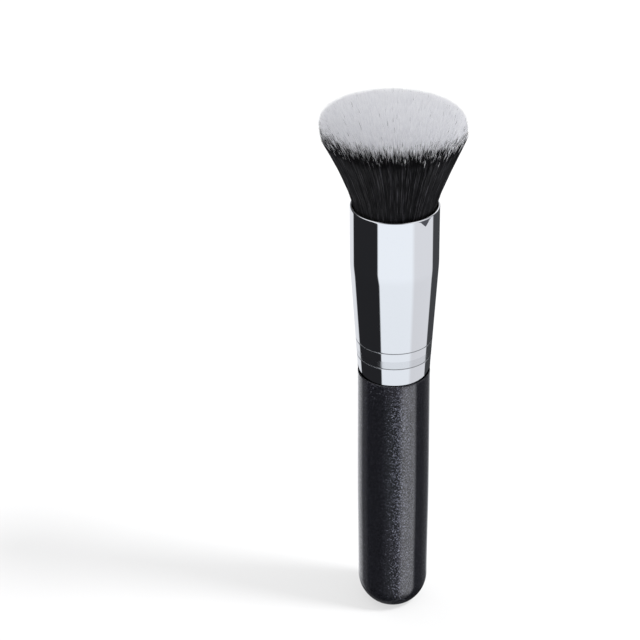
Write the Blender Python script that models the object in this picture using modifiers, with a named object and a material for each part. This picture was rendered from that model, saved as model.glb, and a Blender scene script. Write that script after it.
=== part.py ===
"""Flat-top foundation brush: handle, ferrule, handle glue, root resin and flared tuft.

The brush stands upright on the small flat at the end of its handle. The origin is the centre
of that flat and +Z runs up the brush's axis. All sizes are in metres.
"""

import math
import random

import bmesh
import bpy
from mathutils import Vector

# Clearance between pieces that seat on each other
SEAT_GAP = 0.0003

# Handle: a turned wooden grip with a domed end, and a tenon that goes up into the ferrule
FOOT_RADIUS = 0.0058
END_RADIUS = 0.0100
BELLY_RADIUS = 0.0102
BELLY_HEIGHT = 0.0400
SHOULDER_RADIUS = 0.0101
SHOULDER_HEIGHT = 0.07675
SHOULDER_ROUND = 0.0006
TENON_LENGTH = 0.0240
TENON_CHAMFER = 0.0008

# Keys: grooves turned in the tenon that the glue locks into
KEY_DEPTH = 0.0006
KEY_WIDTH = 0.0024
KEY_PITCH = 0.0050
KEY_COUNT = 2
KEY_TOP_MARGIN = 0.0032

# Ferrule: a thin metal tube with a straight collar, tapered down to just inside the shoulder
FERRULE_LENGTH = 0.05085
FERRULE_WALL = 0.0005
FERRULE_STEP = 0.0001
COLLAR_RADIUS = 0.01215
COLLAR_LENGTH = 0.0174
LIP_ROUND = 0.00015

# Crimps: rings pressed into the ferrule near its foot
CRIMP_HEIGHT = 0.0054
CRIMP_PITCH = 0.0050
CRIMP_COUNT = 2
CRIMP_DEPTH = 0.00025
CRIMP_WIDTH = 0.0006
CRIMP_SHARES = (1, 0.5, 0, -0.5, -1)

# Handle glue: fills the wedge between the straight tenon and the tapered ferrule, and caps the tenon
GLUE_CAP = 0.0022
GLUE_LEAST_WALL = 0.0003

# Backing: the slice of resin that the strands grow from, inside the ferrule's mouth
BACKING_DEPTH = 0.0030
BACKING_THICKNESS = 0.0020

# Tuft: its height above the mouth, its radius at the rim, and the crown that rounds off the rim
TUFT_HEIGHT = 0.0270
TUFT_RADIUS = 0.0198
CROWN_DEPTH = 0.0060
CROWN_SQUARENESS = 5.0
WHITE_DIP = 0.0070
DIP_BLEND = 0.0012

# Strands: their gap and stray where they leave the backing, and how much their tips fall short
STRANDS_ACROSS = 21
STRAND_GAP = 0.00022
STRAND_STRAY = 0.00010
STRAND_SWIRL = math.radians(28)
TIP_SCATTER = 0.0006
SCATTER_SEED = 11

# Colours
LACQUER_COLOUR = (0.012, 0.012, 0.015)
METAL_COLOUR = (0.83, 0.84, 0.86)
GLUE_COLOUR = (0.82, 0.78, 0.62)
RESIN_COLOUR = (0.30, 0.24, 0.14)
FIBRE_COLOUR = (0.010, 0.010, 0.012)
TIP_COLOUR = (0.66, 0.67, 0.71)

# How finely the round shapes are cut
TURN_STEPS = 48
DOME_STEPS = 8
BARREL_STEPS = 5
ROUND_STEPS = 2
LIP_STEPS = 2
SEARCH_STEPS = 24
MERGE_DISTANCE = 0.00005
SHARP_ANGLE = math.radians(30)
LIP_ANGLE = math.radians(60)

# Sizes that follow from those above
DOME_CENTRE = math.sqrt(END_RADIUS**2 - FOOT_RADIUS**2)
FERRULE_FOOT_RADIUS = SHOULDER_RADIUS - FERRULE_STEP
FERRULE_BASE = SHOULDER_HEIGHT + SEAT_GAP
TAPER_LENGTH = FERRULE_LENGTH - COLLAR_LENGTH
TENON_RADIUS = FERRULE_FOOT_RADIUS - FERRULE_WALL - SEAT_GAP
TENON_TOP = SHOULDER_HEIGHT + TENON_LENGTH
GLUE_CAP_BASE = TENON_TOP + SEAT_GAP
GLUE_TOP = GLUE_CAP_BASE + GLUE_CAP
MOUTH_HEIGHT = FERRULE_BASE + FERRULE_LENGTH
RESIN_BASE = GLUE_TOP + SEAT_GAP
RESIN_TOP = MOUTH_HEIGHT - BACKING_DEPTH - BACKING_THICKNESS - SEAT_GAP
RIM_HEIGHT = TUFT_HEIGHT - CROWN_DEPTH
CRIMP_CENTRES = [CRIMP_HEIGHT + index * CRIMP_PITCH for index in range(CRIMP_COUNT)]
KEY_CENTRES = [TENON_LENGTH - KEY_TOP_MARGIN - index * KEY_PITCH for index in range(KEY_COUNT)]


def clear_scene():
    """Remove whatever the file holds before the brush is built."""
    for obj in list(bpy.data.objects):
        bpy.data.objects.remove(obj, do_unlink=True)


def new_material(name, colour, roughness, metallic=0.0, coat=0.0):
    """A Principled BSDF material of one colour."""
    material = bpy.data.materials.new(name)
    material.use_nodes = True
    shader = material.node_tree.nodes["Principled BSDF"]
    shader.inputs["Base Color"].default_value = (*colour, 1.0)
    shader.inputs["Roughness"].default_value = roughness
    shader.inputs["Metallic"].default_value = metallic
    shader.inputs["Coat Weight"].default_value = coat
    return material


def dip_tips(material, colour, dip_height):
    """Blend the fibre's colour to the tips' colour above the height of the dip."""
    nodes, links = material.node_tree.nodes, material.node_tree.links
    shader = nodes["Principled BSDF"]
    place = nodes.new("ShaderNodeTexCoord")
    split = nodes.new("ShaderNodeSeparateXYZ")
    rise = nodes.new("ShaderNodeMapRange")
    rise.inputs["From Min"].default_value = dip_height - DIP_BLEND
    rise.inputs["From Max"].default_value = dip_height + DIP_BLEND
    blend = nodes.new("ShaderNodeMix")
    blend.data_type = "RGBA"
    blend.inputs["A"].default_value = shader.inputs["Base Color"].default_value
    blend.inputs["B"].default_value = (*colour, 1.0)
    links.new(place.outputs["Object"], split.inputs["Vector"])
    links.new(split.outputs["Z"], rise.inputs["Value"])
    links.new(rise.outputs["Result"], blend.inputs["Factor"])
    links.new(blend.outputs["Result"], shader.inputs["Base Color"])


def eased(start, end, share):
    """The value a share of the way from start to end, level at both ends."""
    return start + (end - start) * (1 - math.cos(math.pi * share)) / 2


def bore_radius(height):
    """Radius of the ferrule's bore at a height above the ferrule's foot."""
    climb = min(height / TAPER_LENGTH, 1)
    return FERRULE_FOOT_RADIUS + (COLLAR_RADIUS - FERRULE_FOOT_RADIUS) * climb - FERRULE_WALL


def place_piece(name, cage, base, material, collection, parent):
    """Make an object of a cage's mesh and stand it on its base height."""
    mesh = bpy.data.meshes.new(name)
    cage.to_mesh(mesh)
    cage.free()
    mesh.materials.append(material)
    piece = bpy.data.objects.new(name, mesh)
    collection.objects.link(piece)
    piece.parent = parent
    piece.location.z = base
    return piece


def turned(name, profile, base, material, collection, parent):
    """A piece turned about Z from points (radius, height) that run down its outer side."""
    cage = bmesh.new()
    points = [cage.verts.new((radius, 0, height)) for radius, height in profile]
    for upper, lower in zip(points, points[1:]):
        cage.edges.new((upper, lower))
    piece = place_piece(name, cage, base, material, collection, parent)
    turn = piece.modifiers.new("Turn", "SCREW")
    turn.steps = turn.render_steps = TURN_STEPS
    turn.use_merge_vertices = True
    turn.merge_threshold = MERGE_DISTANCE
    return piece


def settle(piece):
    """Apply a round piece's modifiers, then shade it smooth up to its sharp edges."""
    graph = bpy.context.evaluated_depsgraph_get()
    mesh = bpy.data.meshes.new_from_object(piece.evaluated_get(graph))
    mesh.name = piece.name
    piece.modifiers.clear()
    piece.data = mesh
    mesh.shade_smooth()
    mesh.set_sharp_from_angle(angle=SHARP_ANGLE)


def barrel_profile():
    """Outside of the handle's grip from its shoulder down to the edge of its foot."""
    top = SHOULDER_HEIGHT - SHOULDER_ROUND
    points = []
    for step in range(ROUND_STEPS + 1):
        angle = math.pi / 2 * (1 - step / ROUND_STEPS)
        radius = SHOULDER_RADIUS - SHOULDER_ROUND * (1 - math.cos(angle))
        points.append((radius, top + SHOULDER_ROUND * math.sin(angle)))
    spans = (
        (top, BELLY_HEIGHT, SHOULDER_RADIUS, BELLY_RADIUS),
        (BELLY_HEIGHT, DOME_CENTRE, BELLY_RADIUS, END_RADIUS),
    )
    for high, low, radius_high, radius_low in spans:
        for step in range(1, BARREL_STEPS + 1):
            share = step / BARREL_STEPS
            height = high + (low - high) * share
            points.append((eased(radius_high, radius_low, share), height))
    foot_angle = math.asin(DOME_CENTRE / END_RADIUS)
    for step in range(1, DOME_STEPS + 1):
        angle = foot_angle * step / DOME_STEPS
        height = DOME_CENTRE - END_RADIUS * math.sin(angle)
        points.append((END_RADIUS * math.cos(angle), height))
    return points


def key_profile(radius, depth, width, base):
    """Square steps to depth at each glue key, from the top one down; base is the tenon's foot."""
    points = []
    for centre in KEY_CENTRES:
        top, bottom = base + centre + width / 2, base + centre - width / 2
        points += [(radius, top), (radius - depth, top), (radius - depth, bottom), (radius, bottom)]
    return points


def make_handle(material, collection, parent):
    """The grip and its tenon, one turned piece of wood."""
    profile = [
        (0, TENON_TOP),
        (TENON_RADIUS - TENON_CHAMFER, TENON_TOP),
        (TENON_RADIUS, TENON_TOP - TENON_CHAMFER),
        *key_profile(TENON_RADIUS, KEY_DEPTH, KEY_WIDTH, SHOULDER_HEIGHT),
        (TENON_RADIUS, SHOULDER_HEIGHT),
        *barrel_profile(),
        (0, 0),
    ]
    settle(turned("handle", profile, 0, material, collection, parent))


def make_ferrule(material, collection, parent):
    """The metal tube: straight collar, taper to the handle and the crimped rings near its foot."""
    profile = [(COLLAR_RADIUS, FERRULE_LENGTH), (COLLAR_RADIUS, TAPER_LENGTH)]
    for centre in reversed(CRIMP_CENTRES):
        for share in CRIMP_SHARES:
            height = centre + share * CRIMP_WIDTH / 2
            dent = CRIMP_DEPTH * (1 - share**2)
            profile.append((bore_radius(height) + FERRULE_WALL - dent, height))
    profile.append((FERRULE_FOOT_RADIUS, 0))
    ferrule = turned("ferrule", profile, FERRULE_BASE, material, collection, parent)
    wall = ferrule.modifiers.new("Wall", "SOLIDIFY")
    wall.thickness = FERRULE_WALL
    wall.offset = -1
    wall.use_even_offset = True
    lips = ferrule.modifiers.new("Lips", "BEVEL")
    lips.width = LIP_ROUND
    lips.segments = LIP_STEPS
    lips.limit_method = "ANGLE"
    lips.angle_limit = LIP_ANGLE
    settle(ferrule)


def fill_profile(top, base):
    """Outer side of what fills the bore from top down to base, heights above the ferrule's foot."""
    heights = [top, base]
    if base < TAPER_LENGTH < top:
        heights.insert(1, TAPER_LENGTH)
    return [(bore_radius(height) - SEAT_GAP, height) for height in heights]


def make_handle_glue(material, collection, parent):
    """Glue between tenon and ferrule: a cap over the tenon and a skirt that fills the taper."""
    inner = TENON_RADIUS + SEAT_GAP
    taper = (COLLAR_RADIUS - FERRULE_FOOT_RADIUS) / TAPER_LENGTH
    least_bore = inner + GLUE_LEAST_WALL + SEAT_GAP
    past_crimps = CRIMP_CENTRES[-1] + CRIMP_WIDTH / 2 + SEAT_GAP
    skirt = max((least_bore - bore_radius(0)) / taper, past_crimps)
    cap_top, cap_base = GLUE_TOP - FERRULE_BASE, GLUE_CAP_BASE - FERRULE_BASE
    rib_width = KEY_WIDTH - 2 * SEAT_GAP
    ribs = key_profile(inner, KEY_DEPTH, rib_width, SHOULDER_HEIGHT - FERRULE_BASE)
    profile = [(0, cap_top), *fill_profile(cap_top, skirt), (inner, skirt)]
    profile += [*reversed(ribs), (inner, cap_base), (0, cap_base)]
    settle(turned("handle_glue", profile, FERRULE_BASE, material, collection, parent))


def make_root_resin(material, collection, parent):
    """The plug of resin that sets the roots, poured between the glue cap and the backing."""
    top, base = RESIN_TOP - FERRULE_BASE, RESIN_BASE - FERRULE_BASE
    profile = [(0, top), *fill_profile(top, base), (0, base)]
    settle(turned("root_resin", profile, FERRULE_BASE, material, collection, parent))


def crown_height(radius):
    """Height of the tuft's top above the mouth at a radius, falling to the rim at its edge."""
    share = min(radius / TUFT_RADIUS, 1)
    fall = (1 - share**CROWN_SQUARENESS) ** (1 / CROWN_SQUARENESS)
    return RIM_HEIGHT + CROWN_DEPTH * fall


def tip_height(slope, apex):
    """Height above the mouth where a ray of this slope from the apex meets the crown."""
    low, high = RIM_HEIGHT, TUFT_HEIGHT
    for _ in range(SEARCH_STEPS):
        middle = (low + high) / 2
        if middle < crown_height(slope * (middle - apex)):
            low = middle
        else:
            high = middle
    return low


def to_disc(x, y):
    """Carry a point of the square from -1 to 1 to the unit disc: its distance and angle there.

    Square rings become round ones, and a swirl that grows outwards closes the straight gaps.
    """
    if abs(x) > abs(y):
        distance = abs(x)
        angle = math.pi / 4 * y / x + (math.pi if x < 0 else 0)
    else:
        distance = abs(y)
        angle = math.pi / 2 - math.pi / 4 * x / y + (math.pi if y < 0 else 0)
    return distance, angle + STRAND_SWIRL * distance


def close_backing(cage, radius):
    """Widen the field of roots to the slice's own radius, then carry it down and close it."""
    rim = [edge for edge in cage.edges if edge.is_boundary]
    for drop in (0, BACKING_THICKNESS):
        made = bmesh.ops.extrude_edge_only(cage, edges=rim)["geom"]
        rim = [part for part in made if isinstance(part, bmesh.types.BMEdge) and part.is_boundary]
        for vert in {vert for edge in rim for vert in edge.verts}:
            vert.co.xy = vert.co.xy.normalized() * radius
            vert.co.z -= drop
    bmesh.ops.contextual_create(cage, geom=rim)
    bmesh.ops.recalc_face_normals(cage, faces=cage.faces)


def make_bristle_tuft(material, collection, parent):
    """The tuft: four-sided strands drawn up from a slice of resin.

    All strands lie on rays from one apex below the mouth, so they flare and none crosses another.
    """
    radius = bore_radius(FERRULE_LENGTH) - SEAT_GAP
    apex = -RIM_HEIGHT * radius / (TUFT_RADIUS - radius)
    root = -BACKING_DEPTH
    root_radius = TUFT_RADIUS * (root - apex) / (RIM_HEIGHT - apex)
    chance = random.Random(SCATTER_SEED)
    cage = bmesh.new()
    bmesh.ops.create_grid(cage, x_segments=STRANDS_ACROSS, y_segments=STRANDS_ACROSS, size=1)
    for vert in cage.verts:
        distance, angle = to_disc(vert.co.x, vert.co.y)
        vert.co.xy = Vector((math.cos(angle), math.sin(angle))) * distance * root_radius
        vert.co.z = root
        if not vert.is_boundary:
            vert.co.x += STRAND_STRAY * chance.uniform(-1, 1)
            vert.co.y += STRAND_STRAY * chance.uniform(-1, 1)
    cells = list(cage.faces)
    bmesh.ops.inset_individual(cage, faces=cells, thickness=STRAND_GAP / 2, use_even_offset=True)
    close_backing(cage, radius)
    for tip in bmesh.ops.extrude_discrete_faces(cage, faces=cells)["faces"]:
        shortened = TIP_SCATTER * chance.random()
        for vert in tip.verts:
            slope = vert.co.xy / (root - apex)
            height = tip_height(slope.length, apex) - shortened
            vert.co = (*(slope * (height - apex)), height)
    place_piece("bristle_tuft", cage, MOUTH_HEIGHT, material, collection, parent)


def main():
    """Build the brush from its foot up."""
    clear_scene()
    collection = bpy.data.collections.new("foundation_brush")
    bpy.context.scene.collection.children.link(collection)
    parent = bpy.data.objects.new("foundation_brush_origin", None)
    collection.objects.link(parent)

    lacquer = new_material("dark_lacquer", LACQUER_COLOUR, 0.32, coat=0.6)
    metal = new_material("polished_metal", METAL_COLOUR, 0.08, metallic=1.0)
    glue = new_material("set_glue", GLUE_COLOUR, 0.45)
    resin = new_material("set_resin", RESIN_COLOUR, 0.30)
    fibre = new_material("bristle_fibre", FIBRE_COLOUR, 0.50)
    dip_tips(fibre, TIP_COLOUR, TUFT_HEIGHT - WHITE_DIP)

    make_handle(lacquer, collection, parent)
    make_ferrule(metal, collection, parent)
    make_handle_glue(glue, collection, parent)
    make_root_resin(resin, collection, parent)
    make_bristle_tuft(fibre, collection, parent)


main()
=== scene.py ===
"""Looks of the flat-top foundation brush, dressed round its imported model.

The brush stands on the floor at the origin with its axis along +Z. Lengths are in metres. An azimuth
is counted round the brush from the camera's side, which is -Y, towards +X.
"""

from __future__ import annotations

import logging
import math
from dataclasses import dataclass
from enum import Enum
from typing import Any, Sequence

import bmesh
import bpy
import numpy as np
from mathutils import Matrix, Vector, kdtree


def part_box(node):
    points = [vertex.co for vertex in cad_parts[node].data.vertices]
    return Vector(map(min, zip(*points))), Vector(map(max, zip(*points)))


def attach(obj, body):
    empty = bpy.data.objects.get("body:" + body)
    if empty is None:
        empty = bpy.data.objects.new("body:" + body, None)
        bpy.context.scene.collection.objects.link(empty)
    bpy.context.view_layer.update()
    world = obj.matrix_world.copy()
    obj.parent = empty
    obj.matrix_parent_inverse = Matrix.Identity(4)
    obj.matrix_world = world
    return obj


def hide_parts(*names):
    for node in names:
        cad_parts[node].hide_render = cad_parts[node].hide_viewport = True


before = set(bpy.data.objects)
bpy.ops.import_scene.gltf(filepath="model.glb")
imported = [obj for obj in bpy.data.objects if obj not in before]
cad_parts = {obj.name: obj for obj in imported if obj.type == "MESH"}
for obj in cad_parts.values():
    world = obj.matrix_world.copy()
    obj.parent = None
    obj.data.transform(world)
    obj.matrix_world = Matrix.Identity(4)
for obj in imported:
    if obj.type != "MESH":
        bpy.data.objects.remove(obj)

log = logging.getLogger("brush")

BODY = "root"
TURN_STEPS = 192
MERGE_DISTANCE = 1e-6
SHARP_ANGLE = math.radians(40)
FULL_TURN = 2 * math.pi
GOLDEN_SHARE = (math.sqrt(5) - 1) / 2
GOLDEN_ANGLE = math.pi * (3 - math.sqrt(5))
GUARD_SPACE = 6.0
GUARD_REACH = 1.6
PATCH_DETAIL = 3.0
GRAIN_DETAIL = 2.0
HAZE_SPAN = (0.42, 0.68)
MIDDLE = (0.5, 0.5, 0.5)
WHITE = (1.0, 1.0, 1.0)

Point = tuple[float, float]
Colour = tuple[float, float, float]
Piece = bpy.types.Object
Node = bpy.types.Node
Socket = bpy.types.NodeSocket
Material = bpy.types.Material
Mesh = bpy.types.Mesh
Cage = bmesh.types.BMesh
Array = np.ndarray


class Slot(Enum):
    """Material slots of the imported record."""

    LACQUER = "handle_lacquer"
    METAL = "ferrule_metal"
    GLUE = "glue"
    RESIN = "resin"
    FIBRE = "bristle_fibre"


class Rays(Enum):
    """Kinds of ray that a studio piece can be hidden from."""

    CAMERA = "visible_camera"
    DIFFUSE = "visible_diffuse"
    GLOSSY = "visible_glossy"
    TRANSMISSION = "visible_transmission"
    SHADOW = "visible_shadow"


class Lit(Enum):
    """What a studio light falls on."""

    ROOM = "room"
    FLOOR = "floor"
    TUFT = "tuft"


class NodeBoard:
    """Adds nodes to one node tree and links them."""

    def __init__(self, tree: bpy.types.NodeTree) -> None:
        """Take a material's, world's or group's node tree to work on."""
        self.tree = tree

    def add(self, kind: str, inputs: dict[str | int, Any] | None = None, **settings: Any) -> Node:
        """Add a node.

        Args:
            kind: The node's type, without the word ShaderNode.
            inputs: A value or a source socket for each named or numbered input.
            settings: Attributes to set on the node first.

        Returns:
            The new node.
        """
        node = self.tree.nodes.new("ShaderNode" + kind)
        for name, value in settings.items():
            setattr(node, name, value)
        self.fill(node, inputs or {})
        return node

    def fill(self, node: Node, inputs: dict[str | int, Any]) -> None:
        """Feed several inputs of a node."""
        for name, value in inputs.items():
            self.feed(node.inputs[name], value)

    def feed(self, socket: Socket, value: Any) -> None:
        """Link a source socket to an input, or set the input's own value.

        Args:
            socket: The input.
            value: A source socket, or a plain value.
        """
        if isinstance(value, Socket):
            self.tree.links.new(value, socket)
        else:
            socket.default_value = value

    def sum(self, kind: str, first: Any, second: Any = 0.0, third: Any = 0.0) -> Socket:
        """Work out one sum of values or sockets with a Math node."""
        return self.add("Math", {0: first, 1: second, 2: third}, operation=kind).outputs[0]

    def vector_sum(self, kind: str, first: Any, second: Any = (0.0, 0.0, 0.0)) -> Socket:
        """Work out one sum of vectors."""
        return self.add("VectorMath", {0: first, 1: second}, operation=kind).outputs[0]

    def scaled(self, vector: Socket, factor: Any) -> Socket:
        """Scale a vector or a colour by a value or socket."""
        return self.add("VectorMath", {0: vector, "Scale": factor}, operation="SCALE").outputs[0]

    def span(self, value: Any, low: Any, high: Any, start: float = 0.0, end: float = 1.0) -> Socket:
        """Carry a value from one range, low to high, to another, start to end, held at its ends."""
        ends = {"Value": value, "From Min": low, "From Max": high, "To Min": start, "To Max": end}
        return self.add("MapRange", ends).outputs["Result"]

    def noise(self, place: Socket, scale: Any, detail: float) -> Socket:
        """Return a noise's strength at a place."""
        return self.add("TexNoise", {"Vector": place, "Scale": scale, "Detail": detail}).outputs["Fac"]

    def place(self, kind: str = "Object") -> Socket:
        """Return the coordinates of a kind at the shaded point."""
        return self.add("TexCoord").outputs[kind]

    def blend(self, factor: Any, first: Any, second: Any) -> Socket:
        """Mix two colours.

        Args:
            factor: Share of the second colour.
            first: First colour or socket.
            second: Second colour or socket.

        Returns:
            The mixed colour's socket.
        """
        node = self.add("Mix", {"Factor": factor}, data_type="RGBA")
        for name, value in (("A", first), ("B", second)):
            socket = next(s for s in node.inputs if s.name == name and s.type == "RGBA")
            self.feed(socket, value if isinstance(value, Socket) else (*value, 1.0))
        return next(s for s in node.outputs if s.type == "RGBA")


def new_finish(name: str) -> tuple[Material, NodeBoard, Node]:
    """Start a material.

    Args:
        name: The material's name.

    Returns:
        The material, a board for its nodes and its Principled BSDF.
    """
    material = bpy.data.materials.new(name)
    material.use_nodes = True
    board = NodeBoard(material.node_tree)
    return material, board, material.node_tree.nodes["Principled BSDF"]


def bare_board(holder: Material | bpy.types.World) -> NodeBoard:
    """Empty the node tree of a material or world.

    Args:
        holder: The material or world.

    Returns:
        A board for its nodes.
    """
    holder.use_nodes = True
    holder.node_tree.nodes.clear()
    return NodeBoard(holder.node_tree)


def handled_surface() -> bpy.types.NodeTree:
    """Build the node group for the faint haze that hands leave on a glossy surface.

    Returns:
        A group that turns a place into a roughness between Clean and Hazy.
    """
    name = "handled_surface"
    if name in bpy.data.node_groups:
        return bpy.data.node_groups[name]
    group = bpy.data.node_groups.new(name, "ShaderNodeTree")
    group.interface.new_socket("Place", in_out="INPUT", socket_type="NodeSocketVector")
    for label in ("Patch Scale", "Grain Scale", "Clean", "Hazy"):
        group.interface.new_socket(label, in_out="INPUT", socket_type="NodeSocketFloat")
    group.interface.new_socket("Roughness", in_out="OUTPUT", socket_type="NodeSocketFloat")
    board = NodeBoard(group)
    given = group.nodes.new("NodeGroupInput").outputs
    result = group.nodes.new("NodeGroupOutput").inputs["Roughness"]
    patches = board.noise(given["Place"], given["Patch Scale"], PATCH_DETAIL)
    grain = board.noise(given["Place"], given["Grain Scale"], GRAIN_DETAIL)
    haze = board.sum("MULTIPLY", board.span(patches, *HAZE_SPAN), grain)
    span = board.sum("SUBTRACT", given["Hazy"], given["Clean"])
    board.feed(result, board.sum("MULTIPLY_ADD", haze, span, given["Clean"]))
    return group


@dataclass(frozen=True)
class HandLook:
    """How far handling dulls a surface."""

    patch_scale: float
    grain_scale: float
    clean: float
    hazy: float

    def roughness(self, board: NodeBoard, place: Socket) -> Socket:
        """Place the haze group in a material and return its roughness."""
        values = {"Place": place, "Patch Scale": self.patch_scale, "Grain Scale": self.grain_scale,
                  "Clean": self.clean, "Hazy": self.hazy}
        return board.add("Group", values, node_tree=handled_surface()).outputs["Roughness"]


@dataclass(frozen=True)
class GlitterLacquer:
    """Dark lacquer with fine metal flakes under a clear coat."""

    ground: Colour = (0.0095, 0.0098, 0.0128)
    flake_dim: Colour = (0.018, 0.018, 0.023)
    flake_bright: Colour = (0.108, 0.111, 0.131)
    flake_edge: Colour = (0.20, 0.20, 0.22)
    flake_shine: float = 0.86
    flake_size: float = 0.00022
    flake_share: float = 0.42
    flake_tilt: float = 1.15
    coat_roughness: float = 0.13
    coat_ior: float = 1.45
    touch: HandLook = HandLook(90.0, 1500.0, 0.16, 0.24)

    def material(self) -> Material:
        """Make the lacquer.

        Returns:
            Its material.
        """
        material, board, shader = new_finish("glitter_lacquer")
        place = board.place()
        cells = board.add("TexVoronoi", {"Vector": place, "Scale": 1 / self.flake_size}).outputs["Color"]
        parts = board.add("SeparateColor", {"Color": cells}).outputs
        spark = board.sum("GREATER_THAN", parts["Red"], 1 - self.flake_share)
        flake = board.blend(parts["Green"], self.flake_dim, self.flake_bright)
        tilt = board.scaled(board.vector_sum("SUBTRACT", cells, MIDDLE), self.flake_tilt)
        leaned = board.vector_sum("ADD", board.add("NewGeometry").outputs["Normal"], tilt)
        board.fill(shader, {
            "Base Color": board.blend(spark, self.ground, flake),
            "Metallic": board.sum("MULTIPLY", spark, self.flake_shine),
            "Roughness": self.touch.roughness(board, place),
            "Normal": board.vector_sum("NORMALIZE", leaned),
            "Specular IOR Level": 0.0,
            "Specular Tint": (*self.flake_edge, 1.0),
            "Coat Weight": 1.0,
            "Coat Roughness": self.coat_roughness,
            "Coat IOR": self.coat_ior,
        })
        return material


@dataclass(frozen=True)
class BrightMetal:
    """Polished plated metal with one duller ring, left by the crimping wheel, and thin dark lines of
    painted groove shade, with some grime, along the crimps.
    """

    colour: Colour = (0.87, 0.885, 0.91)
    dull_colour: Colour = (0.78, 0.795, 0.82)
    ring_base: float = 0.0
    ring_top: float = 0.0
    ring_edge: float = 0.00012
    ring_haze: float = 0.10
    groove_shade_colour: Colour = (0.19, 0.195, 0.21)
    line_heights: tuple[float, ...] = ()
    line_width: float = 0.00020
    line_haze: float = 0.85
    touch: HandLook = HandLook(70.0, 900.0, 0.035, 0.075)

    def material(self) -> Material:
        """Make the metal.

        Returns:
            Its material.
        """
        material, board, shader = new_finish("bright_metal")
        place = board.place()
        height = board.add("SeparateXYZ", {"Vector": place}).outputs["Z"]
        risen = board.span(height, self.ring_base - self.ring_edge, self.ring_base)
        ended = board.span(height, self.ring_top, self.ring_top + self.ring_edge)
        ring = board.sum("SUBTRACT", risen, ended)
        colour = board.blend(ring, self.colour, self.dull_colour)
        rough = board.sum("MULTIPLY_ADD", ring, self.ring_haze, self.touch.roughness(board, place))
        # Each crimp gets painted shade of its groove, with some grime: the colour is darkened over the
        # line's width and the haze raised.
        for line in self.line_heights:
            away = board.sum("ABSOLUTE", board.sum("SUBTRACT", height, line))
            groove_shade = board.span(away, self.line_width, 0.0)
            colour = board.blend(groove_shade, colour, self.groove_shade_colour)
            rough = board.sum("MULTIPLY_ADD", groove_shade, self.line_haze, rough)
        board.fill(shader, {"Base Color": colour, "Roughness": rough, "Metallic": 1.0})
        return material


@dataclass(frozen=True)
class DippedFibre:
    """Dark synthetic fibre with a pale dipped tip, read from each strand's own attributes; lighter streaks
    along some dark strands are partly their own random tone and partly painted sheen.
    """

    dark: Colour = (0.0018, 0.0018, 0.0026)
    # Colour of the lighter streaks on dark strands: partly their own tone, partly painted sheen.
    dark_tone_and_sheen: Colour = (0.088, 0.085, 0.099)
    light_rarity: float = 4.0
    streak_length: float = 0.0045
    streak_seeds: float = 400.0
    streak_detail: float = 1.0
    streak_span: tuple[float, float] = (0.40, 0.72)
    pale: Colour = (0.73, 0.735, 0.79)
    pale_light: Colour = (0.97, 0.975, 1.0)
    edge: float = 0.00035
    specular: float = 0.22
    dull: float = 0.60
    glossy: float = 0.30

    def material(self) -> Material:
        """Make the fibre.

        Returns:
            Its material.
        """
        material, board, shader = new_finish("dipped_fibre")
        above = board.add("Attribute", attribute_name="above_dip").outputs["Fac"]
        tone = board.add("Attribute", attribute_name="tone").outputs["Fac"]
        dipped = board.span(above, -self.edge, self.edge)
        height = board.add("SeparateXYZ", {"Vector": board.place()}).outputs["Z"]
        seed = board.sum("MULTIPLY", tone, self.streak_seeds)
        along = board.sum("DIVIDE", height, self.streak_length)
        spot = board.add("CombineXYZ", {"X": seed, "Y": along}).outputs[0]
        streak = board.span(board.noise(spot, 1.0, self.streak_detail), *self.streak_span)
        # Lighter streaks on dark strands: partly each strand's own random tone, partly painted sheen where
        # a fibre would catch the light.
        light = board.sum("MULTIPLY", board.sum("POWER", tone, self.light_rarity), streak)
        dark = board.blend(light, self.dark, self.dark_tone_and_sheen)
        pale = board.blend(tone, self.pale, self.pale_light)
        board.fill(shader, {
            "Base Color": board.blend(dipped, dark, pale),
            "Roughness": board.span(streak, 0.0, 1.0, self.dull, self.glossy),
            "Specular IOR Level": self.specular,
        })
        return material


@dataclass(frozen=True)
class SetAdhesive:
    """Glue or resin that has set inside the ferrule, a little cloudy."""

    name: str
    clear: Colour
    cloudy: Colour
    cloud_size: float = 0.0015
    cloud_detail: float = 4.0
    cloud_span: tuple[float, float] = (0.35, 0.65)
    roughness: float = 0.35

    def material(self) -> Material:
        """Make the adhesive.

        Returns:
            Its material.
        """
        material, board, shader = new_finish(self.name)
        clouds = board.noise(board.place(), 1 / self.cloud_size, self.cloud_detail)
        colour = board.blend(board.span(clouds, *self.cloud_span), self.clear, self.cloudy)
        board.fill(shader, {"Base Color": colour, "Roughness": self.roughness})
        return material


@dataclass(frozen=True)
class Corner:
    """A corner of a turned outline, rounded off over a length along both of its sides."""

    radius: float
    height: float
    rounding: float = 0.0
    steps: int = 4

    def points(self, before: Corner, after: Corner) -> list[Point]:
        """Round the corner with a short curve; a point on each long side keeps its shading flat.

        Args:
            before: The corner that comes before it.
            after: The corner that comes after it.

        Returns:
            The points from one side to the other, or the corner itself.
        """
        here = Vector((self.radius, self.height))
        if not self.rounding:
            return [tuple(here)]
        ways = [Vector((other.radius, other.height)) - here for other in (before, after)]
        steps = [way.normalized() * self.rounding for way in ways]
        start, end = (here + step for step in steps)
        shares = [number / self.steps for number in range(self.steps + 1)]
        curve = [tuple(start * (1 - s) ** 2 + here * 2 * s * (1 - s) + end * s**2) for s in shares]
        guards = [tuple(here + step * GUARD_REACH) for step in steps]
        long = [way.length >= GUARD_SPACE * self.rounding for way in ways]
        return guards[:1] * long[0] + curve + guards[1:] * long[1]


def rounded(corners: list[Corner]) -> list[Point]:
    """Return the radius and height of each point of an outline, from its corners in order."""
    trios = zip(corners[-1:] + corners[:-1], corners, corners[1:] + corners[:1])
    return [point for before, corner, after in trios for point in corner.points(before, after)]


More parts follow.
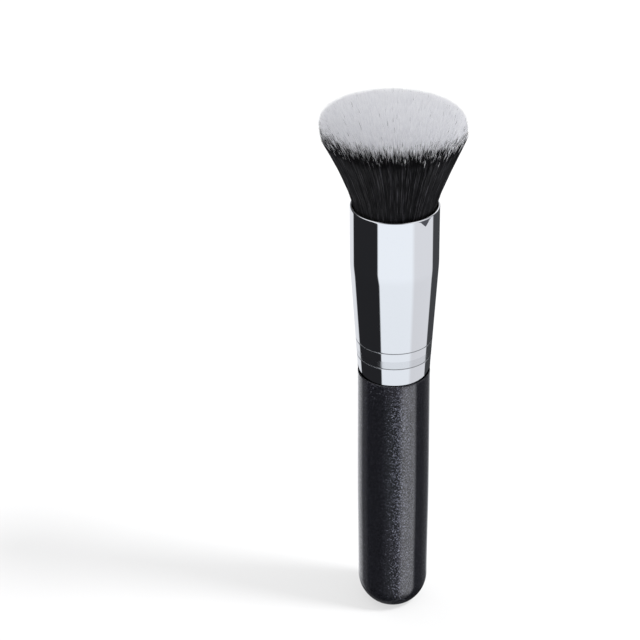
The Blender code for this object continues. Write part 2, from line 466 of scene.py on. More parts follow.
def eased(start: float, end: float, share: float) -> float:
    """Return the value a share of the way from start to end, level at both ends."""
    return start + (end - start) * (1 - math.cos(math.pi * share)) / 2


def towards(azimuth_deg: float, elevation_deg: float) -> Vector:
    """Return the way from the brush to an azimuth and an elevation over the floor, of unit length."""
    azimuth, elevation = math.radians(azimuth_deg), math.radians(elevation_deg)
    return Vector((math.sin(azimuth) * math.cos(elevation), -math.cos(azimuth) * math.cos(elevation),
                   math.sin(elevation)))


def into_mesh(name: str, cage: Cage, finish: Material) -> Mesh:
    """Turn a cage into a mesh, and free the cage.

    Args:
        name: The mesh's name.
        cage: What to turn into a mesh.
        finish: The mesh's only material.

    Returns:
        The mesh.
    """
    mesh = bpy.data.meshes.new(name)
    cage.to_mesh(mesh)
    cage.free()
    mesh.materials.append(finish)
    return mesh


def in_scene(name: str, data: bpy.types.ID) -> Piece:
    """Put a mesh, a light or a camera into the scene.

    Args:
        name: The new object's name.
        data: What the object shows.

    Returns:
        The object, at the origin.
    """
    piece = bpy.data.objects.new(name, data)
    bpy.context.scene.collection.objects.link(piece)
    return piece


def turned_piece(name: str, outline: Sequence[Point], finish: Material, closed: bool = False) -> Piece:
    """Spin an outline round the brush's axis into a closed body.

    Args:
        name: The piece's name.
        outline: Radius and height of each point.
        finish: The piece's material.
        closed: Whether the outline is a ring, as a tube's wall is.

    Returns:
        The piece, at the origin.
    """
    cage = bmesh.new()
    dots = [cage.verts.new((radius, 0.0, height)) for radius, height in outline]
    for first, second in zip(dots, dots[1:]):
        cage.edges.new((first, second))
    if closed:
        cage.edges.new((dots[-1], dots[0]))
    bmesh.ops.spin(cage, geom=cage.verts[:] + cage.edges[:], cent=(0, 0, 0), axis=(0, 0, 1),
                   angle=FULL_TURN, steps=TURN_STEPS, use_merge=True)
    bmesh.ops.remove_doubles(cage, verts=cage.verts, dist=MERGE_DISTANCE)
    bmesh.ops.recalc_face_normals(cage, faces=cage.faces)
    mesh = into_mesh(name, cage, finish)
    mesh.shade_smooth()
    mesh.set_sharp_from_angle(angle=SHARP_ANGLE)
    return in_scene(name, mesh)


def report(piece: Piece) -> None:
    """Log a finished piece's name and number of faces."""
    log.info("%s: %d faces", piece.name, len(piece.data.polygons))


@dataclass
class Handle:
    """Turned grip with a domed end, and the keyed tenon inside the ferrule."""

    foot_radius: float = 0.0058
    foot_rounding: float = 0.0006
    end_radius: float = 0.0100
    belly_radius: float = 0.0102
    belly_height: float = 0.0400
    shoulder_radius: float = 0.0101
    seat_gap: float = 0.00016
    shoulder_rounding: float = 0.00025
    tenon_radius: float = 0.0092
    tenon_chamfer: float = 0.0008
    key_depth: float = 0.0006
    key_width: float = 0.0024
    key_pitch: float = 0.0050
    key_count: int = 2
    key_top_margin: float = 0.0032
    dome_first_step: int = 3
    dome_steps: int = 28
    barrel_steps: int = 14
    finish: GlitterLacquer = GlitterLacquer()

    def __post_init__(self) -> None:
        """Read the shoulder's and the tenon's heights from the frame."""
        self.shoulder_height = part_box("ferrule")[0].z - self.seat_gap
        self.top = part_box("handle")[1].z

    def dome(self) -> list[Corner]:
        """Round the end, from the flat foot up to where the barrel starts.

        Returns:
            The dome's corners.
        """
        centre = math.sqrt(self.end_radius**2 - self.foot_radius**2)
        foot_angle = math.asin(centre / self.end_radius)
        corners = [Corner(0, 0), Corner(self.foot_radius, 0, self.foot_rounding)]
        for step in range(self.dome_first_step, self.dome_steps + 1):
            angle = foot_angle * (1 - step / self.dome_steps)
            radius = self.end_radius * math.cos(angle)
            corners.append(Corner(radius, centre - self.end_radius * math.sin(angle)))
        return corners

    def barrel(self, base: float) -> list[Corner]:
        """Swell the barrel, from the dome up to just under the shoulder.

        Args:
            base: Height at which the dome ends.

        Returns:
            The barrel's corners.
        """
        spans = ((base, self.belly_height, self.end_radius, self.belly_radius),
                 (self.belly_height, self.shoulder_height, self.belly_radius, self.shoulder_radius))
        corners = []
        for low, high, radius_low, radius_high in spans:
            for step in range(1, self.barrel_steps + 1):
                share = step / self.barrel_steps
                corners.append(Corner(eased(radius_low, radius_high, share), low + (high - low) * share))
        top = corners[-1]
        corners[-1] = Corner(top.radius, top.height, self.shoulder_rounding)
        return corners

    def tenon(self) -> list[Corner]:
        """Cut the tenon with its glue keys, from the shoulder to its chamfered top.

        Returns:
            The tenon's corners.
        """
        full, deep = self.tenon_radius, self.tenon_radius - self.key_depth
        places = [(full, self.shoulder_height)]
        for index in reversed(range(self.key_count)):
            centre = self.top - self.key_top_margin - index * self.key_pitch
            low, high = centre - self.key_width / 2, centre + self.key_width / 2
            places += [(full, low), (deep, low), (deep, high), (full, high)]
        chamfer = self.tenon_chamfer
        places += [(full, self.top - chamfer), (full - chamfer, self.top), (0, self.top)]
        return [Corner(radius, height) for radius, height in places]

    def build(self) -> Piece:
        """Build and dress the handle.

        Returns:
            The handle.
        """
        corners = self.dome()
        corners += self.barrel(corners[-1].height)
        corners += self.tenon()
        handle = turned_piece("lacquered_handle", rounded(corners), self.finish.material())
        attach(handle, BODY)
        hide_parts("handle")
        return handle


@dataclass
class Ferrule:
    """Metal tube: straight collar, taper to the handle and two crimped rings near its foot."""

    foot_radius: float = 0.0100
    foot_rounding: float = 0.00010
    collar_radius: float = 0.01215
    collar_length: float = 0.0174
    wall: float = 0.0005
    knee_rounding: float = 0.0016
    knee_steps: int = 6
    lip_roll: float = 0.00042
    lip_steps: int = 8
    crimp_height: float = 0.0054
    crimp_pitch: float = 0.0050
    crimp_count: int = 2
    crimp_depth: float = 0.00005
    crimp_width: float = 0.00030
    crimp_rounding: float = 0.00007
    crimp_steps: int = 3
    dull_ring: float = 0.0022

    def __post_init__(self) -> None:
        """Read the tube's place from the frame and work out its crimps' heights."""
        low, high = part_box("ferrule")
        self.base, self.mouth = low.z, high.z
        self.knee = self.mouth - self.collar_length
        first = self.base + self.crimp_height
        self.crimp_centres = tuple(first + index * self.crimp_pitch for index in range(self.crimp_count))

    def outside(self, height: float) -> float:
        """Return the tube's outer radius at a height."""
        share = min((height - self.base) / (self.knee - self.base), 1.0)
        return self.foot_radius + (self.collar_radius - self.foot_radius) * share

    def crimps(self) -> list[Corner]:
        """Press the rings into the taper.

        Returns:
            The rings' corners from the lowest up.
        """
        corners = []
        for centre in self.crimp_centres:
            for share, depth in ((-0.5, 0.0), (0.0, self.crimp_depth), (0.5, 0.0)):
                height = centre + share * self.crimp_width
                radius = self.outside(height) - depth
                corners.append(Corner(radius, height, self.crimp_rounding, self.crimp_steps))
        return corners

    def build(self) -> Piece:
        """Build and dress the ferrule.

        Returns:
            The ferrule.
        """
        bore = self.collar_radius - self.wall
        corners = [
            Corner(self.foot_radius - self.wall, self.base),
            Corner(self.foot_radius, self.base, self.foot_rounding),
            *self.crimps(),
            Corner(self.collar_radius, self.knee, self.knee_rounding, self.knee_steps),
            Corner(self.collar_radius, self.mouth, self.lip_roll, self.lip_steps),
            Corner(bore, self.mouth, self.wall - self.lip_roll),
            Corner(bore, self.knee),
        ]
        ring_base = self.crimp_centres[0] + self.crimp_width / 2
        metal = BrightMetal(ring_base=ring_base, ring_top=ring_base + self.dull_ring,
                            line_heights=self.crimp_centres).material()
        ferrule = turned_piece("polished_ferrule", rounded(corners), metal, closed=True)
        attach(ferrule, BODY)
        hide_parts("ferrule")
        return ferrule


@dataclass
class Adhesives:
    """The glue and the resin inside the ferrule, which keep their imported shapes."""

    glue: SetAdhesive = SetAdhesive("set_glue", (0.72, 0.64, 0.42), (0.86, 0.82, 0.66))
    resin: SetAdhesive = SetAdhesive("set_resin", (0.22, 0.16, 0.08), (0.36, 0.28, 0.17))

    def dress(self) -> list[Piece]:
        """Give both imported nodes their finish.

        Returns:
            The two nodes.
        """
        looks = (("handle_glue", self.glue, Slot.GLUE), ("root_resin", self.resin, Slot.RESIN))
        dressed = []
        for node, finish, slot in looks:
            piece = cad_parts[node]
            for holder in piece.material_slots:
                holder.link = "OBJECT"
                holder.material = finish.material()
            dressed.append(piece)
        return dressed


@dataclass(frozen=True)
class Strands:
    """What sets the strands of one sector apart, a row for each.

    Attributes:
        reach: Place from the axis, 0, to the outside, 1.
        around: Way out from the axis.
        pull: Way to the middle of its lock, on the disc of unit radius.
        tip: Height of the tip above the mouth.
        line: Height above the mouth at which the dip ends.
        width: Radius of the strand.
        tone: How light it is, from 0 to 1.
        stray: How far it has strayed at the rim.
        bow: How far it bows out halfway up.
    """

    reach: Array
    around: Array
    pull: Array
    tip: Array
    line: Array
    width: Array
    tone: Array
    stray: Array
    bow: Array


@dataclass
class Tuft:
    """Dense flared bundle of tapered strands with dipped tips, made in sectors."""

    sectors: int = 8
    doublings: int = 12
    ring_shares: tuple[float, ...] = (0.35, 0.62, 0.78, 0.89)
    ring_widths: tuple[float, ...] = (1.0, 1.0, 1.25, 1.55, 1.20, 0.12)
    sides: int = 3
    strand_radius: float = 0.000060
    strand_girths: tuple[float, float] = (0.8, 1.15)
    outer_girth: float = 0.6
    outer_power: float = 60.0
    root_depth: float = 0.0040
    mouth_radius: float = 0.01088
    mouth_swell: float = 0.00030
    swell_height: float = 0.0008
    bend: float = 0.22
    crown_radius: float = 0.01965
    crown_height: float = 0.0270
    crown_depth: float = 0.0061
    crown_squareness: float = 6.8
    lean: float = -0.00045
    lean_power: float = 3.0
    lock_spacing: float = 0.00036
    lock_jitter: float = 0.3
    lock_pull: float = 0.20
    lock_pull_outside: float = 0.42
    lock_pull_power: int = 6
    lock_climb_power: float = 1.5
    stray: float = 0.00015
    stray_limit: float = 2.5
    bow: float = 0.00007
    tip_scatter: float = 0.00012
    tip_lock_scatter: float = 0.00022
    tip_lock_power: int = 8
    dip_line: float = 0.0229
    dip_tilt: float = 0.0005
    dip_side_drop: float = 0.0016
    dip_lock_scatter: float = 0.00110
    dip_strand_scatter: float = 0.00040
    dip_inside_drop: float = 0.0050
    dip_inside_reach: tuple[float, float] = (0.55, 0.82)
    ragged_share: float = 0.45
    ragged_up: float = 0.0016
    ragged_down: float = 0.0016
    ragged_down_share: float = 0.35
    ragged_power: int = 4
    lock_tone_share: float = 0.10
    undipped_share: float = 0.0022
    undipped_width: float = 2.2
    undipped_line: float = 0.0540
    chart_strand: float = 0.002
    chart_nudge: float = 0.0005
    chart_reach: tuple[float, float] = (-0.060, 0.012)
    search_steps: int = 26
    seed: int = 7
    finish: DippedFibre = DippedFibre()

    def __post_init__(self) -> None:
        """Read the mouth's height from the frame, start the seeded chance and share out the locks."""
        self.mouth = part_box("ferrule")[1].z
        self.chance = np.random.default_rng(self.seed)
        self.count = 2**self.doublings
        self.rim_height = self.crown_height - self.crown_depth
        self.share_locks()

    def share_locks(self) -> None:
        """Spread the middles of the locks over the disc of unit radius, each with its own tone and dip."""
        spacing = self.lock_spacing / self.crown_radius
        locks = int(math.pi / spacing**2)
        index = np.arange(locks)
        reach, turn = np.sqrt((index + 0.5) / locks), index * GOLDEN_ANGLE
        self.lock_middles = np.stack([reach * np.cos(turn), reach * np.sin(turn)], 1)
        self.lock_middles += self.chance.normal(0, spacing * self.lock_jitter, self.lock_middles.shape)
        self.lock_tones = self.chance.random(locks)
        self.lock_dips = self.chance.normal(0, self.dip_lock_scatter, locks)
        self.lock_tips = np.abs(self.chance.normal(0, self.tip_lock_scatter, locks))
        self.lock_tree = kdtree.KDTree(locks)
        for number, (x, y) in enumerate(self.lock_middles):
            self.lock_tree.insert((x, y, 0.0), number)
        self.lock_tree.balance()

    def outside(self, height: Array) -> Array:
        """Flare the tuft: straight, with a slight outward bend and a swell at the mouth.

        Args:
            height: Heights above the mouth.

        Returns:
            The tuft's radius at each height.
        """
        climb = height / self.rim_height
        swell = self.mouth_swell * np.exp(-np.clip(height, 0, None) / self.swell_height)
        flare = (self.crown_radius - self.mouth_radius) * climb * (1 - self.bend * (1 - climb))
        return self.mouth_radius + flare + swell

    def crown(self, radius: Array) -> Array:
        """Round off the tuft's nearly flat top.

        Args:
            radius: Distances from the axis.

        Returns:
            The height of the top above the mouth at each distance.
        """
        share = np.clip(radius / self.crown_radius, 0.0, 1.0)
        fall = (1 - share**self.crown_squareness) ** (1 / self.crown_squareness)
        return self.rim_height + self.crown_depth * fall

    def tips(self, reach: Array) -> Array:
        """Find where strands meet the crown.

        Args:
            reach: Each strand's place from the axis, 0, to the outside, 1.

        Returns:
            Height of each tip above the mouth.
        """
        low = np.full_like(reach, self.rim_height)
        high = np.full_like(reach, self.crown_height)
        for _ in range(self.search_steps):
            middle = (low + high) / 2
            under = middle < self.crown(reach * self.outside(middle))
            low = np.where(under, middle, low)
            high = np.where(under, high, middle)
        return low

    def ragged(self) -> Array:
        """Draw how far above the line each strand's dip ends: most end on it and some far off.

        Returns:
            A height for each strand, negative below the line.
        """
        far = self.chance.exponential(1.0, self.count)
        far *= self.chance.random(self.count) < self.ragged_share
        down = self.chance.random(self.count) < self.ragged_down_share
        return far * np.where(down, -self.ragged_down, self.ragged_up)

    def draw(self, number: int) -> Strands:
        """Draw the strands of one sector.

        Args:
            number: Which sector, counted from 0.

        Returns:
            The sector's strands.
        """
        chance, count = self.chance, self.count
        index = np.arange(count)
        reach = np.sqrt((index + chance.random(count)) / count)
        turn = (number + (index * GOLDEN_SHARE) % 1.0) * FULL_TURN / self.sectors
        around = np.stack([np.cos(turn), np.sin(turn)], 1)
        roots = reach[:, None] * around
        lock = np.array([self.lock_tree.find((x, y, 0.0))[1] for x, y in roots])
        tip = self.tips(reach) - np.abs(chance.normal(0, self.tip_scatter, count))
        tip -= self.lock_tips[lock] * reach**self.tip_lock_power
        aside = roots[:, 0]
        line = self.dip_line - self.dip_tilt * aside - self.dip_side_drop * aside**2 + self.lock_dips[lock]
        line += chance.normal(0, self.dip_strand_scatter, count) + self.ragged() * reach**self.ragged_power
        line -= np.interp(reach, self.dip_inside_reach, (self.dip_inside_drop, 0.0))
        width = self.strand_radius * chance.uniform(*self.strand_girths, count)
        width *= 1 + self.outer_girth * reach**self.outer_power
        undipped = chance.random(count) < self.undipped_share
        line[undipped] = self.undipped_line
        width[undipped] *= self.undipped_width
        tone = self.lock_tones[lock] * self.lock_tone_share
        tone += chance.random(count) * (1 - self.lock_tone_share)
        stray = np.clip(chance.normal(0, 1, (count, 2)), -self.stray_limit, self.stray_limit)
        bow = chance.normal(0, self.bow, (count, 2))
        pull = self.lock_middles[lock] - roots
        return Strands(reach, around, pull, tip, line, width, tone, self.stray * stray, bow)

    def strand_cage(self) -> Cage:
        """Make one plain strand of unit size, with its rings cut, and double it until there are enough.

        Returns:
            All strands of a sector, one in the other.
        """
        cage = bmesh.new()
        bmesh.ops.create_cone(cage, cap_ends=True, segments=self.sides, radius1=1, radius2=0, depth=1)
        bmesh.ops.translate(cage, verts=cage.verts, vec=(0, 0, 0.5))
        for share in self.ring_shares:
            bmesh.ops.bisect_plane(cage, geom=cage.verts[:] + cage.edges[:] + cage.faces[:],
                                   plane_co=(0, 0, share), plane_no=(0, 0, 1), dist=MERGE_DISTANCE)
        bmesh.ops.recalc_face_normals(cage, faces=cage.faces)
        for _ in range(self.doublings):
            bmesh.ops.duplicate(cage, geom=cage.verts[:] + cage.edges[:] + cage.faces[:])
        return cage

    def grown(self, strands: Strands, unit: Array) -> tuple[Array, Array]:
        """Carry the points of the plain strand to their places on every strand.

        Args:
            strands: The sector's strands.
            unit: The plain strand's points.

        Returns:
            The place of every point, and its height above the mouth.
        """
        share = unit[:, 2]
        girth = np.interp(share, (0.0, *self.ring_shares, 1.0), self.ring_widths)
        size = np.linalg.norm(unit[:, :2], axis=1, keepdims=True)
        corner = unit[:, :2] / np.maximum(size, MERGE_DISTANCE)
        height = -self.root_depth + (strands.tip + self.root_depth)[:, None] * share
        climb = np.clip(height / self.rim_height, 0, None)[..., None]
        spread = strands.reach[:, None] * self.outside(height)
        middle = spread[..., None] * strands.around[:, None, :]
        outwards = strands.reach**self.lock_pull_power
        strength = self.lock_pull + (self.lock_pull_outside - self.lock_pull) * outwards
        pull = strands.pull * strength[:, None] * self.crown_radius
        middle += pull[:, None, :] * climb**self.lock_climb_power
        bow = strands.bow[:, None, :] * np.sin(math.pi * share)[None, :, None]
        middle += strands.stray[:, None, :] * climb**2 + bow
        middle[..., 0] += self.lean * climb[..., 0] ** self.lean_power
        place = np.empty((self.count, len(share), 3))
        place[..., :2] = middle + corner[None] * (girth[None] * strands.width[:, None])[..., None]
        place[..., 2] = height + self.mouth
        return place, height

    def sector(self, number: int, fibre: Material) -> Piece:
        """Build one sector of the tuft.

        Args:
            number: Which sector, counted from 0.
            fibre: The strands' material.

        Returns:
            The sector's piece.
        """
        strands = self.draw(number)
        name = f"bristle_sector_{number + 1}"
        mesh = into_mesh(name, self.strand_cage(), fibre)
        unit = np.empty(len(mesh.vertices) * 3, np.float32)
        mesh.vertices.foreach_get("co", unit)
        unit = unit.reshape(self.count, -1, 3)[0].astype(float)
        place, height = self.grown(strands, unit)
        mesh.vertices.foreach_set("co", place.astype(np.float32).ravel())
        above = height - strands.line[:, None]
        self.label(mesh, above, strands.tone)
        self.chart(mesh, above, strands.tone, unit)
        mesh.shade_smooth()
        mesh.update()
        return in_scene(name, mesh)

    def label(self, mesh: Mesh, above: Array, tone: Array) -> None:
        """Store what the finish reads at each point.

        Args:
            mesh: The sector's mesh.
            above: How far each point lies above its strand's dip line.
            tone: Each strand's tone.
        """
        for name, values in (("above_dip", above), ("tone", np.broadcast_to(tone[:, None], above.shape))):
            attribute = mesh.attributes.new(name, "FLOAT", "POINT")
            attribute.data.foreach_set("value", values.astype(np.float32).ravel())

    def chart(self, mesh: Mesh, above: Array, tone: Array, unit: Array) -> None:
        """Lay the strands out on a map by tone across and by height over the dip line upwards.

        Args:
            mesh: The sector's mesh.
            above: How far each point lies above its strand's dip line.
            tone: Each strand's tone.
            unit: The plain strand's points.
        """
        side = np.round(np.arctan2(unit[:, 1], unit[:, 0]) * self.sides / FULL_TURN) % self.sides
        across = tone[:, None] * (1 - self.chart_strand * self.sides) + self.chart_strand * (side + 0.5)
        up = np.interp(above, self.chart_reach, (0.0, 1.0)) + self.chart_nudge * (side == 1)
        places = np.stack([across, up], -1).reshape(-1, 2)
        corners = np.empty(len(mesh.loops), np.int32)
        mesh.loops.foreach_get("vertex_index", corners)
        chart = mesh.uv_layers.new(name="OFBake")
        chart.uv.foreach_set("vector", places[corners].astype(np.float32).ravel())

    def build(self) -> list[Piece]:
        """Build and dress every sector.

        Returns:
            The sectors.
        """
        fibre = self.finish.material()
        pieces = []
        for number in range(self.sectors):
            piece = self.sector(number, fibre)
            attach(piece, BODY)
            pieces.append(piece)
        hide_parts("bristle_tuft")
        return pieces


@dataclass(frozen=True)
class Panel:
    """A stretch of the studio wall that the brush mirrors, up to where the next one starts."""

    start_deg: float
    colour: Colour
    edge_deg: float = 2.5


@dataclass(frozen=True)
class Sun:
    """A far, soft light."""

    name: str
    strength: float
    azimuth_deg: float
    elevation_deg: float
    softness_deg: float
    lit: Lit = Lit.ROOM


@dataclass
class Studio:
    """Pale floor, mirrored room, soft lights and the camera."""

    floor_size: float = 8.0
    floor_colour: Colour = (0.20, 0.20, 0.202)
    floor_glow: float = 0.605
    ambient: float = 1.09
    suns: tuple[Sun, ...] = (
        Sun("key_light", 0.90, azimuth_deg=82.0, elevation_deg=52.0, softness_deg=20.0),
        Sun("rim_light", 0.90, azimuth_deg=-135.0, elevation_deg=24.0, softness_deg=40.0),
        Sun("floor_light", 3.3, azimuth_deg=77.0, elevation_deg=52.0, softness_deg=11.0, lit=Lit.FLOOR),
        Sun("left_bounce", 0.48, azimuth_deg=-120.0, elevation_deg=-38.0, softness_deg=30.0, lit=Lit.TUFT),
        Sun("right_bounce", 0.20, azimuth_deg=120.0, elevation_deg=-38.0, softness_deg=30.0, lit=Lit.TUFT),
    )
    panels: tuple[Panel, ...] = (
        Panel(-180.0, (0.80, 0.81, 0.84)),
        Panel(-133.0, (0.0190, 0.0193, 0.0215)),
        Panel(-45.3, (0.92, 0.955, 1.0)),
        Panel(48.0, (0.75, 0.755, 0.785), edge_deg=10.0),
        Panel(113.5, (0.056, 0.058, 0.062)),
        Panel(168.0, (0.80, 0.81, 0.84)),
    )
    panel_lean: float = 0.45
    panel_height: float = -0.485
    panel_fall: float = 0.64
    roof: tuple[Panel, ...] = (
        Panel(-180.0, (0.10, 0.10, 0.105)),
        Panel(-106.0, (0.95, 0.95, 0.97), edge_deg=16.0),
        Panel(-42.0, (0.08, 0.08, 0.085), edge_deg=30.0),
        Panel(32.0, (0.90, 0.90, 0.92), edge_deg=26.0),
        Panel(84.0, (0.30, 0.30, 0.32), edge_deg=16.0),
        Panel(122.0, (0.95, 0.95, 0.97), edge_deg=10.0),
        Panel(168.0, (0.10, 0.10, 0.105), edge_deg=10.0),
    )
    roof_rise: tuple[float, float] = (0.05, 0.20)
    sleeve_radius: float = 0.0125
    sleeve_height: tuple[float, float] = (-0.2500, 0.0752)
    sleeve_strength: float = 2.80
    sleeve_fade: tuple[float, float] = (-0.0022, 0.0058)
    sleeve_foot_share: float = 0.10
    sleeve_steps: int = 96
    sleeve: tuple[Panel, ...] = (
        Panel(-180.0, (0.43, 0.435, 0.45)),
        Panel(-79.0, (0.100, 0.100, 0.108), edge_deg=9.0),
        Panel(-60.0, (0.0137, 0.0141, 0.0173), edge_deg=9.0),
        Panel(-15.0, (0.104, 0.106, 0.117), edge_deg=14.0),
        Panel(13.0, (0.94, 0.95, 1.0), edge_deg=11.0),
        Panel(43.2, (0.0385, 0.0395, 0.045), edge_deg=7.0),
        Panel(71.0, (0.070, 0.071, 0.077), edge_deg=10.0),
        Panel(98.0, (0.22, 0.225, 0.234), edge_deg=12.0),
    )
    flag_radius: float = 0.0200
    flag_azimuth_deg: float = 58.5
    flag_width: float = 0.0200
    flag_shear: float = 0.6
    flag_height: tuple[float, float] = (0.12095, 0.1244)
    flag_colour: Colour = (0.86, 0.87, 1.0)
    flag_glow: float = 0.105
    camera_distance: float = 0.600
    camera_elevation_deg: float = 28.82
    camera_roll_deg: float = -0.69
    camera_clip: tuple[float, float] = (0.01, 100.0)
    aim_x: float = -0.02046
    aim_height: float = 0.09264
    focal_pixels: float = 2175.4
    frame_pixels: float = 640.0
    sensor_mm: float = 36.0

    def floor(self) -> Piece:
        """Lay the pale floor, which mirrors don't see.

        Returns:
            The floor.
        """
        cage = bmesh.new()
        bmesh.ops.create_grid(cage, x_segments=1, y_segments=1, size=self.floor_size / 2)
        material, board, shader = new_finish("pale_floor")
        board.fill(shader, {
            "Base Color": (*self.floor_colour, 1.0),
            "Roughness": 1.0,
            "Specular IOR Level": 0.0,
            "Emission Color": (*WHITE, 1.0),
            "Emission Strength": self.floor_glow,
        })
        floor = in_scene("studio_floor", into_mesh("studio_floor", cage, material))
        self.hide_from(floor, Rays.GLOSSY)
        return floor

    def hide_from(self, piece: Piece, *kinds: Rays) -> None:
        """Keep a studio piece out of some kinds of ray."""
        for kind in kinds:
            setattr(piece, kind.value, False)

    def bearings(self, board: NodeBoard, kind: str) -> tuple[Socket, Socket]:
        """Turn coordinates into bearings round the brush's axis.

        Args:
            board: The board to work on.
            kind: The kind of coordinates.

        Returns:
            The azimuth, in radians, and the height.
        """
        way = board.add("SeparateXYZ", {"Vector": board.place(kind)}).outputs
        back = board.sum("MULTIPLY", way["Y"], -1.0)
        return board.sum("ARCTAN2", way["X"], back), way["Z"]

    def ramp(self, board: NodeBoard, azimuth: Any, panels: Sequence[Panel]) -> Socket:
        """Colour the surroundings by azimuth with a ramp that runs once round them.

        Args:
            board: The board to work on.
            azimuth: The azimuth's socket, in radians.
            panels: The panels in order.

        Returns:
            The colour's socket.
        """
        node = board.add("ValToRGB", {"Fac": board.span(azimuth, -math.pi, math.pi)})
        ramp = node.color_ramp
        stops = [(0.0, panels[0].colour)]
        for before, panel in zip(panels, panels[1:]):
            edge = panel.edge_deg / 2 / 360
            place = (panel.start_deg + 180) / 360
            stops += [(place - edge, before.colour), (place + edge, panel.colour)]
        while len(ramp.elements) < len(stops):
            ramp.elements.new(0.5)
        for element, (place, colour) in zip(ramp.elements, stops):
            element.position = place
            element.color = (*colour, 1.0)
        return node.outputs["Color"]

    def room(self) -> None:
        """Set the room's light: even for soft light, in panels for mirrors, white for the camera."""
        world = bpy.data.worlds.new("studio_room")
        board = bare_board(world)
        azimuth, rise = self.bearings(board, "Generated")
        over = board.sum("SUBTRACT", rise, self.panel_height)
        leaned = board.sum("MULTIPLY_ADD", over, self.panel_lean, azimuth)
        dim = board.sum("MULTIPLY_ADD", board.sum("MINIMUM", over, 0.0), self.panel_fall, 1.0)
        wall = board.scaled(self.ramp(board, leaned, self.panels), dim)
        roof = self.ramp(board, azimuth, self.roof)
        mirrored = board.blend(board.span(rise, *self.roof_rise), wall, roof)
        path = board.add("LightPath").outputs
        soft = board.blend(path["Is Glossy Ray"], (self.ambient,) * 3, mirrored)
        light = board.add("Background", {"Color": board.blend(path["Is Camera Ray"], soft, WHITE)})
        board.add("OutputWorld", {"Surface": light.outputs[0]})
        bpy.context.scene.world = world

    def mirrored_only(self, name: str, cage: Cage, material: Material) -> Piece:
        """Put a glowing piece into the studio that only mirrors see.

        Args:
            name: The piece's name.
            cage: Its shape.
            material: Its glow.

        Returns:
            The piece.
        """
        piece = in_scene(name, into_mesh(name, cage, material))
        self.hide_from(piece, Rays.CAMERA, Rays.DIFFUSE, Rays.TRANSMISSION, Rays.SHADOW)
        return piece

    def handle_sleeve(self, handle: Piece) -> None:
        """Stand a ring of soft panels close round the handle, which only it mirrors.

        Args:
            handle: The piece that the sleeve lights.
        """
        low, high = self.sleeve_height
        cage = bmesh.new()
        bmesh.ops.create_cone(cage, cap_ends=False, segments=self.sleeve_steps,
                              radius1=self.sleeve_radius, radius2=self.sleeve_radius, depth=high - low)
        bmesh.ops.translate(cage, verts=cage.verts, vec=(0, 0, (low + high) / 2))
        material = bpy.data.materials.new("handle_sleeve")
        board = bare_board(material)
        azimuth, height = self.bearings(board, "Object")
        fade = board.span(height, *self.sleeve_fade, self.sleeve_foot_share, 1.0)
        power = board.sum("MULTIPLY", fade, self.sleeve_strength)
        colour = self.ramp(board, azimuth, self.sleeve)
        glow = board.add("Emission", {"Color": colour, "Strength": power})
        board.add("OutputMaterial", {"Surface": glow.outputs[0]})
        self.light_only(self.mirrored_only("handle_sleeve", cage, material), [handle])

    def dark_flag(self) -> None:
        """Hang a small dark triangle by the ferrule's collar, which only mirrors see."""
        low, high = self.flag_height
        cage = bmesh.new()
        bmesh.ops.create_circle(cage, cap_ends=True, segments=3, radius=1)
        bmesh.ops.translate(cage, verts=cage.verts, vec=(0, -1, 0))
        unit_width, unit_height = math.sqrt(3), 1.5
        size = (self.flag_width / unit_width, (low - high) / unit_height, 1)
        bmesh.ops.scale(cage, verts=cage.verts, vec=size)
        stand = Matrix.Translation((0, -self.flag_radius, low)) @ Matrix.Rotation(math.pi / 2, 4, "X")
        turn = Matrix.Rotation(math.radians(self.flag_azimuth_deg), 4, "Z")
        shear = Matrix.Shear("XZ", 4, (self.flag_shear, 0.0))
        bmesh.ops.transform(cage, matrix=turn @ stand @ shear, verts=cage.verts)
        material = bpy.data.materials.new("dark_flag")
        board = bare_board(material)
        glow = board.add("Emission", {"Color": (*self.flag_colour, 1.0), "Strength": self.flag_glow})
        board.add("OutputMaterial", {"Surface": glow.outputs[0]})
        self.mirrored_only("dark_flag", cage, material)

    def light_only(self, light: Piece, pieces: Sequence[Piece]) -> bpy.types.Collection:
        """Let a light fall on some pieces only.

        Args:
            light: The light.
            pieces: What it falls on.

        Returns:
            The collection that holds the pieces.
        """
        lit = bpy.data.collections.new(f"lit_by_{light.name}")
        for piece in pieces:
            lit.objects.link(piece)
        light.light_linking.receiver_collection = lit
        return lit

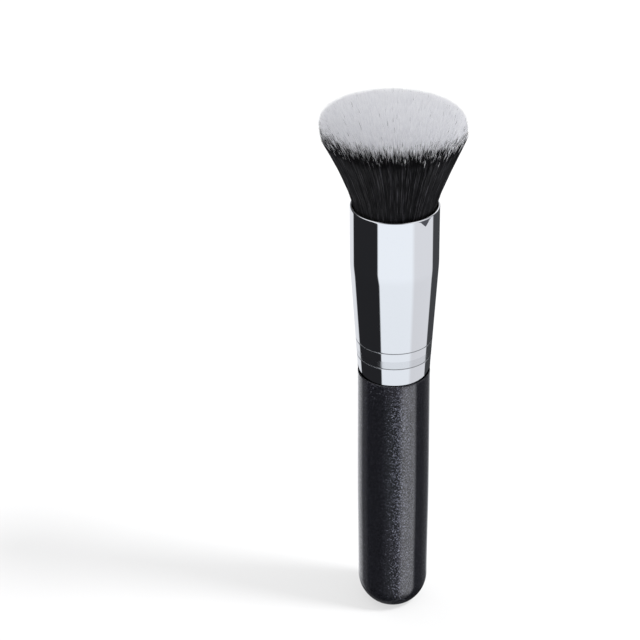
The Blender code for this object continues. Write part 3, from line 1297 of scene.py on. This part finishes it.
    def hang(self, sun: Sun, pieces: dict[Lit, list[Piece]]) -> None:
        """Hang a far, soft light. One for the tuft gives only shine, and mirrors don't see the others.

        Args:
            sun: What it is like.
            pieces: The pieces for lights that fall on nothing else.
        """
        lamp = bpy.data.lights.new(sun.name, "SUN")
        lamp.energy = sun.strength
        lamp.angle = math.radians(sun.softness_deg)
        light = in_scene(sun.name, lamp)
        light.location = towards(sun.azimuth_deg, sun.elevation_deg)
        light.rotation_euler = light.location.to_track_quat("Z", "Y").to_euler()
        self.hide_from(light, Rays.DIFFUSE if sun.lit is Lit.TUFT else Rays.GLOSSY)
        if sun.lit in pieces:
            lit = self.light_only(light, pieces[sun.lit])
            if sun.lit is Lit.TUFT:
                light.light_linking.blocker_collection = lit

    def camera(self) -> None:
        """Place the camera as in the photograph."""
        lens = bpy.data.cameras.new("camera")
        lens.sensor_width = self.sensor_mm
        lens.lens = self.focal_pixels * self.sensor_mm / self.frame_pixels
        lens.clip_start, lens.clip_end = self.camera_clip
        camera = in_scene("camera", lens)
        aim = Vector((self.aim_x, 0.0, self.aim_height))
        back = towards(0.0, self.camera_elevation_deg) * self.camera_distance
        tilt = Matrix.Rotation(math.pi / 2 - math.radians(self.camera_elevation_deg), 4, "X")
        roll = Matrix.Rotation(math.radians(self.camera_roll_deg), 4, "Z")
        camera.matrix_world = Matrix.Translation(aim + back) @ tilt @ roll
        bpy.context.scene.camera = camera

    def build(self, handle: Piece, tuft: list[Piece]) -> None:
        """Set up the whole studio.

        Args:
            handle: The piece that the sleeve lights.
            tuft: The pieces that the bounced light shines on.
        """
        pieces = {Lit.FLOOR: [self.floor()], Lit.TUFT: tuft}
        self.room()
        self.handle_sleeve(handle)
        self.dark_flag()
        for sun in self.suns:
            self.hang(sun, pieces)
        self.camera()
        bpy.context.scene.view_settings.view_transform = "Standard"


def main() -> None:
    """Build every piece of the brush and the studio round it."""
    logging.basicConfig(level=logging.INFO, format="%(message)s")
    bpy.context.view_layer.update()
    handle = Handle().build()
    report(handle)
    report(Ferrule().build())
    for piece in Adhesives().dress():
        report(piece)
    tuft = Tuft().build()
    for piece in tuft:
        report(piece)
    Studio().build(handle, tuft)


if __name__ == "__main__":
    main()
